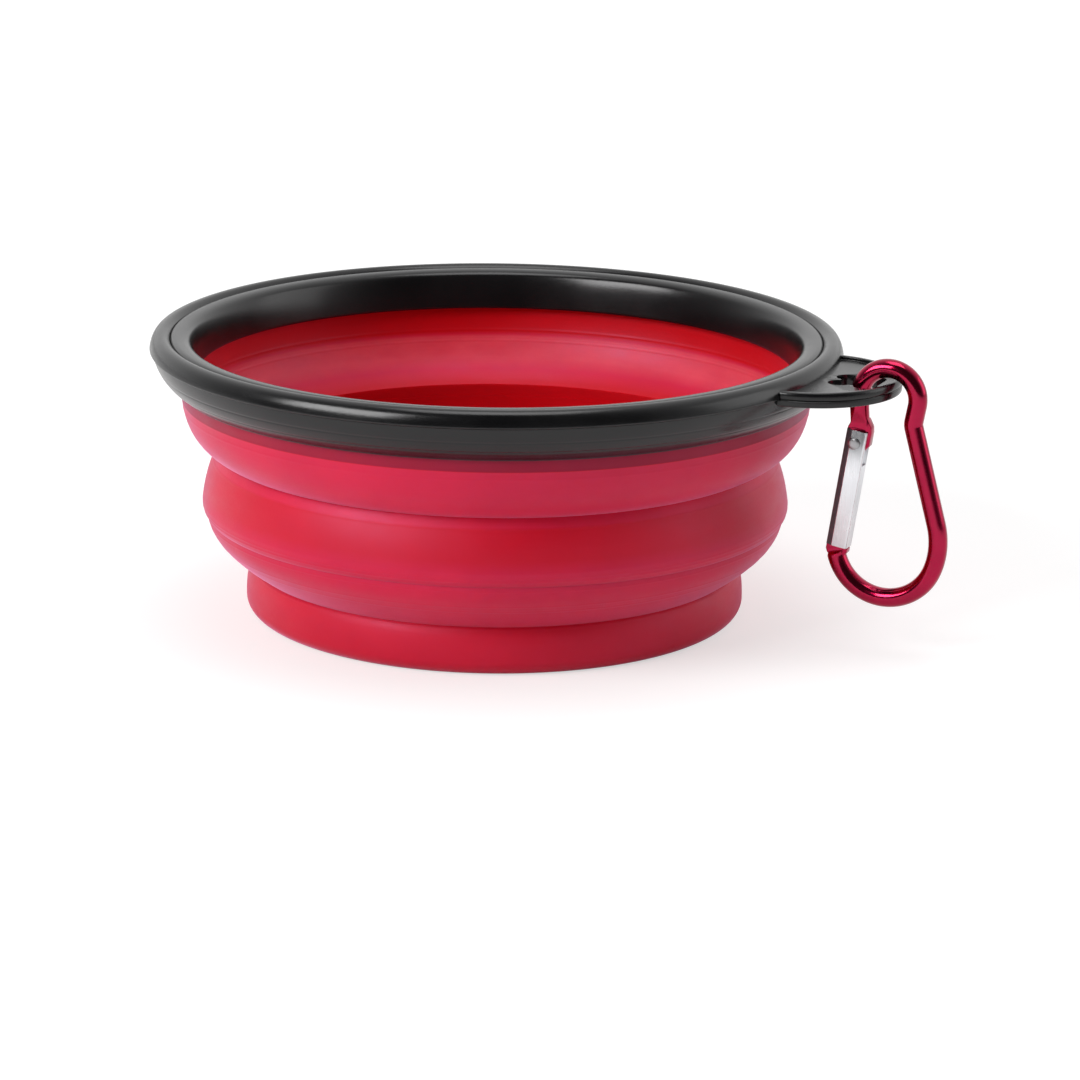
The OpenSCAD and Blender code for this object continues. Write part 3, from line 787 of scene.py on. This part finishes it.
def hook():
    press = TONGUE_T / 2 - PRESS_IN
    path = hook_path()
    ease = 8
    shoulder = GATE_LOW - NOSE_GAP
    nose_start = gate_point(0, shoulder)
    leg_end = Vector(path[-1])
    top_end = Vector(gate_point(0, SHOULDER_LOW))
    head = [tuple(Vector(nose_start).lerp(Vector(path[0]), i / ease)) for i in range(ease)]
    foot = [tuple(leg_end.lerp(top_end, i / ease)) for i in range(1, ease + 1)]
    steps = [i / ease for i in range(ease)]
    easing = [press + (ROD_R - press) * t * t * (3 - 2 * t) for t in steps]
    halves = easing + [ROD_R] * len(path) + easing[::-1]
    body = shape("hook_skin", *tube(rod(head + path + foot, halves, ease)))
    upper = [(GATE_LEFT, GATE_RISE + HEEL_UP), (GATE_LEFT + SHOULDER_IN, SHOULDER_LOW),
             (SHOULDER_IN - ROD_R, SHOULDER_TOP), (ROD_R - SHOULDER_IN, SHOULDER_TOP),
             (EAR_X - EAR_IN, SHOULDER_LOW), (EAR_X, GATE_RISE), (EAR_X, EAR_Z), (CAM_X, CAM_Z)]
    upper += arc((0, 0), TONGUE_R, math.degrees(math.asin(-CAM_Z / TONGUE_R)) - 180, -180, 8)
    combine(body, slab(upper, TONGUE_T, TONGUE_BEVEL), "UNION")
    step_x = GATE_RIGHT - NOSE_WALL - NOSE_PLAY
    tip_z = GATE_LOW + NOSE_SLOT - NOSE_TIP_GAP
    nose = [(GATE_LEFT, shoulder), (NOSE_IN - ROD_R, shoulder - NOSE_SHOULDER),
            (ROD_R - NOSE_IN, shoulder - NOSE_SHOULDER), (GATE_RIGHT, shoulder),
            (GATE_RIGHT, GATE_LOW - NOSE_STEP), (step_x, GATE_LOW), (step_x, tip_z),
            (GATE_LEFT + NOSE_TIP_IN, tip_z), (GATE_LEFT, GATE_LOW)]
    combine(body, slab(nose, TONGUE_T, TONGUE_BEVEL), "UNION")
    return body


def gate():
    half = GATE_T / 2
    side = SLOT_W / 2 + SLOT_MARGIN
    facet_x = GATE_LEFT + GATE_FACET
    corner_x = GATE_RIGHT - GATE_CORNER
    corner_y = half - GATE_CORNER
    corners = [(GATE_LEFT, -side), (facet_x, -half), (corner_x, -half), (GATE_RIGHT, -corner_y),
               (GATE_RIGHT, corner_y), (corner_x, half), (facet_x, half), (GATE_LEFT, side)]
    bar = shape("gate_skin", *prism(rounded(corners, GATE_ROUND), GATE_LOW, GATE_RISE))
    wide = 4.0

    def block(x0, x1, z0, z1):
        outline = [(x0, -SLOT_W / 2), (x1, -SLOT_W / 2), (x1, SLOT_W / 2), (x0, SLOT_W / 2)]
        return shape("block", *prism(outline, z0, z1))

    combine(bar, block(-wide, wide, SLOT_Z, GATE_RISE + OVERCUT), "DIFFERENCE")
    nose_slot = block(-wide, GATE_RIGHT - NOSE_WALL, GATE_LOW - OVERCUT, GATE_LOW + NOSE_SLOT)
    combine(bar, nose_slot, "DIFFERENCE")
    bore = arc((SPRING_X, 0), BORE_R, 0, 360, 32)[:-1]
    combine(bar, shape("bore", *prism(bore, SLOT_Z - BORE_DEPTH, SLOT_Z + OVERCUT)), "DIFFERENCE")
    soften(bar, GATE_SOFT, 50)
    # Marks the left facets for their painted shade
    steep, flat = SHADED_FACET_NORMALS
    mark(bar, SHADED_FACET, "FACE", [float(steep < face.normal.x < flat) for face in bar.data.polygons])
    to_gate(bar)
    return bar


def rivet():
    """The hinge pin with its two domed heads."""
    seat = GATE_T / 2 + RIVET_GAP
    head_r = RIVET_HEAD_D / 2
    top = seat + RIVET_HEAD_H
    bend = (head_r - DOME_BEND[0], top - DOME_BEND[1])
    dome = ([(RIVET_D / 2, seat), (head_r - RIVET_BEVEL[0], seat), (head_r, seat + RIVET_BEVEL[1])]
            + curve((head_r, seat + DOME_LOW), bend, (DOME_FLAT_R, top), 10) + [(0, top - DOME_DENT)])
    profile = [(r, -z) for r, z in dome[::-1]] + dome
    pin = shape("rivet_skin", *revolve(profile, 48, closed=False))
    pin.data.transform(Matrix.Rotation(math.pi / 2, 4, "X"))
    to_gate(pin)
    return pin


def spring():
    """One unbroken coil, with its two straight ends."""
    per_turn, sides = 24, 10
    count = SPRING_TURNS * per_turn
    low, high = SPRING_LOW + SPRING_WIRE, SPRING_TOP - SPRING_WIRE
    line = [Vector((SPRING_R, 0, SPRING_LOW))]
    for i in range(count + 1):
        a = 2 * math.pi * i / per_turn
        z = low + (high - low) * i / count
        line.append(Vector((SPRING_R * math.cos(a), SPRING_R * math.sin(a), z)))
    line.append(Vector((SPRING_R, 0, SPRING_TOP)))
    rings = []
    for i, point in enumerate(line):
        along = (line[min(i + 1, len(line) - 1)] - line[max(i - 1, 0)]).normalized()
        out = Vector((point.x, point.y, 0)).normalized()
        side = along.cross(out).normalized()
        angles = [2 * math.pi * k / sides for k in range(sides)]
        rings.append([point + SPRING_WIRE / 2 * (math.cos(a) * out + math.sin(a) * side) for a in angles])
    coil = shape("spring_skin", *tube(rings))
    coil.data.transform(Matrix.Translation((SPRING_X, 0, 0)))
    to_gate(coil)
    return coil


def plunger():
    low = PLUNGER_TOP - PLUNGER_H
    tip = low - STEM_L
    stem = [(0, tip), (STEM_R - STEM_BEVEL, tip), (STEM_R, tip + STEM_BEVEL), (STEM_R, low)]
    head = curve((PLUNGER_R, PLUNGER_TOP - PLUNGER_ROUND[1]), (PLUNGER_R, PLUNGER_TOP),
                 (PLUNGER_R - PLUNGER_ROUND[0], PLUNGER_TOP), 4)
    profile = (stem + [(PLUNGER_R - PLUNGER_BEVEL, low), (PLUNGER_R, low + PLUNGER_BEVEL)]
               + head + [(0, PLUNGER_TOP)])
    pin = shape("plunger_skin", *revolve(profile, 40, closed=False))
    pin.data.transform(Matrix.Translation((SPRING_X, 0, 0)))
    to_gate(pin)
    return pin


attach(finish_piece(hook(), hook_red, ["carabiner_body"]), "carabiner")
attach(finish_piece(rivet(), rivet_steel, ["gate_rivet"]), "carabiner")
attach(finish_piece(gate(), silver, ["carabiner_gate"]), "gate")
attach(finish_piece(plunger(), spring_steel, ["spring_plunger"]), "plunger")


coil = finish_piece(spring(), spring_steel, ["gate_spring"])
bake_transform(coil)


# Camera at the photograph's angle
CAMERA_AZIMUTH = math.radians(24.05)
CAMERA_ELEVATION = math.radians(14.275)
CAMERA_DISTANCE = 0.757089
CAMERA_ROLL = 0.010
TARGET = Vector((0, 0, 0.030))
TARGET_PIXEL = (495.023, 451.466)
FRAME_PIXELS = 1080
FOCAL_PIXELS = 3999.375
SENSOR = 36.0


def make_camera():
    e, a = CAMERA_ELEVATION, CAMERA_AZIMUTH
    back = Vector((math.sin(a) * math.cos(e), -math.cos(a) * math.cos(e), math.sin(e)))
    right = Vector((math.cos(a), math.sin(a), 0))
    up = right.cross(-back)
    pan = math.atan((TARGET_PIXEL[0] - FRAME_PIXELS / 2) / FOCAL_PIXELS)
    tilt = math.atan((TARGET_PIXEL[1] - FRAME_PIXELS / 2) / FOCAL_PIXELS)
    aim = Matrix((right, up, back)).transposed()
    aim = Matrix.Rotation(pan, 3, up) @ aim
    aim = Matrix.Rotation(tilt, 3, aim.col[0]) @ aim
    aim = Matrix.Rotation(CAMERA_ROLL, 3, aim.col[2]) @ aim
    data = bpy.data.cameras.new("camera")
    data.sensor_width = SENSOR
    data.lens = SENSOR * FOCAL_PIXELS / FRAME_PIXELS
    camera = bpy.data.objects.new("camera", data)
    camera.matrix_world = Matrix.Translation(TARGET + CAMERA_DISTANCE * back) @ aim.to_4x4()
    bpy.context.scene.collection.objects.link(camera)
    bpy.context.scene.camera = camera


make_camera()


# Studio: a white floor, a room that is white behind the object and dark in front, and three soft boxes
RIGHT = Vector((math.cos(CAMERA_AZIMUTH), math.sin(CAMERA_AZIMUTH), 0))
AWAY = Vector((-math.sin(CAMERA_AZIMUTH), math.cos(CAMERA_AZIMUTH), 0))


def studio(right, away, up):
    """A place given from the camera's side: to its right, away from it, and up."""
    return RIGHT * right + AWAY * away + Vector((0, 0, up))


def soft_box(name, direction, distance, size, radiance):
    """A soft lamp that faces the object from a direction given from the camera's side."""
    data = bpy.data.lights.new(name, "AREA")
    data.shape = "RECTANGLE"
    data.size, data.size_y = size
    data.energy = radiance * math.pi * size[0] * size[1]
    lamp = bpy.data.objects.new(name, data)
    place = studio(*direction).normalized() * distance
    lamp.location = place + TARGET
    lamp.rotation_euler = place.to_track_quat("Z", "Y").to_euler()
    bpy.context.scene.collection.objects.link(lamp)


soft_box("key", direction=(-0.70, -0.50, 0.51), distance=1.1, size=(0.70, 0.46), radiance=9.0)
soft_box("top", direction=(0.0, -0.05, 1.0), distance=1.2, size=(0.7, 0.7), radiance=2.9)
soft_box("fill", direction=(1.0, 0.0, 0.35), distance=1.1, size=(0.6, 0.6), radiance=1.0)

# The floor's colour and glow, for the object and as the camera sees it, and the distances between which
# the seen floor fades to white
FLOOR_SIZE = 40.0
FLOOR_WHITE = 0.8
FLOOR_SEEN = 0.5
FLOOR_LIFT = 0.08
FLOOR_SEEN_LIFT = 0.58
FLOOR_FADE = (0.25, 0.9)

# The room's bright direction, how far from it the light turns to dark, and both levels
ROOM_AXIS = (0.3, 0.954, 0)
ROOM_EDGE = 0.55
ROOM_DARK = 0.05
ROOM_BRIGHT = 0.95


def make_floor():
    half = FLOOR_SIZE / 2
    mesh = bpy.data.meshes.new("floor")
    corners = [(-half, -half, 0), (half, -half, 0), (half, half, 0), (-half, half, 0)]
    mesh.from_pydata(corners, [], [(0, 1, 2, 3)])
    floor = bpy.data.objects.new("floor", mesh)
    bpy.context.scene.collection.objects.link(floor)
    nodes = Nodes("studio_floor")
    nodes.set(Roughness=0.9, Specular_IOR_Level=0.0, Emission_Color=(1, 1, 1, 1))
    rays = nodes.add("ShaderNodeLightPath").outputs
    mirrored = nodes.math("MAXIMUM", rays["Is Glossy Ray"], rays["Is Transmission Ray"])
    span = nodes.add("ShaderNodeVectorMath", operation="LENGTH")
    nodes.link(nodes.place(), span.inputs[0])
    seen = nodes.spread(span.outputs["Value"], FLOOR_SEEN_LIFT, 1.0, *FLOOR_FADE)
    lift = nodes.math("ADD", nodes.math("MULTIPLY", mirrored, FLOOR_LIFT),
                      nodes.math("MULTIPLY", rays["Is Camera Ray"], seen))
    nodes.link(lift, nodes.shader.inputs["Emission Strength"])
    nodes.wear(nodes.mix(rays["Is Camera Ray"], (FLOOR_WHITE,) * 3, (FLOOR_SEEN,) * 3))
    mesh.materials.append(nodes.material)


def make_world():
    """A room that is white behind the object and dark in front. The camera sees it white all round."""
    world = bpy.data.worlds.new("studio")
    bpy.context.scene.world = world
    world.use_nodes = True
    tree = world.node_tree
    where = tree.nodes.new("ShaderNodeTexCoord")
    facing = tree.nodes.new("ShaderNodeVectorMath")
    facing.operation = "DOT_PRODUCT"
    facing.inputs[1].default_value = studio(*ROOM_AXIS)
    tree.links.new(where.outputs["Generated"], facing.inputs[0])
    level = tree.nodes.new("ShaderNodeMapRange")
    level.interpolation_type = "SMOOTHSTEP"
    level.inputs["From Min"].default_value = -ROOM_EDGE
    level.inputs["From Max"].default_value = ROOM_EDGE
    level.inputs["To Min"].default_value = ROOM_DARK
    level.inputs["To Max"].default_value = ROOM_BRIGHT
    tree.links.new(facing.outputs["Value"], level.inputs["Value"])
    seen = tree.nodes.new("ShaderNodeMath")
    seen.operation = "MAXIMUM"
    tree.links.new(level.outputs["Result"], seen.inputs[0])
    tree.links.new(tree.nodes.new("ShaderNodeLightPath").outputs["Is Camera Ray"], seen.inputs[1])
    tree.links.new(seen.outputs["Value"], tree.nodes["Background"].inputs["Strength"])
    tree.nodes["Background"].inputs["Color"].default_value = (1, 1, 1, 1)


make_floor()
make_world()
bpy.context.scene.view_settings.view_transform = "Standard"
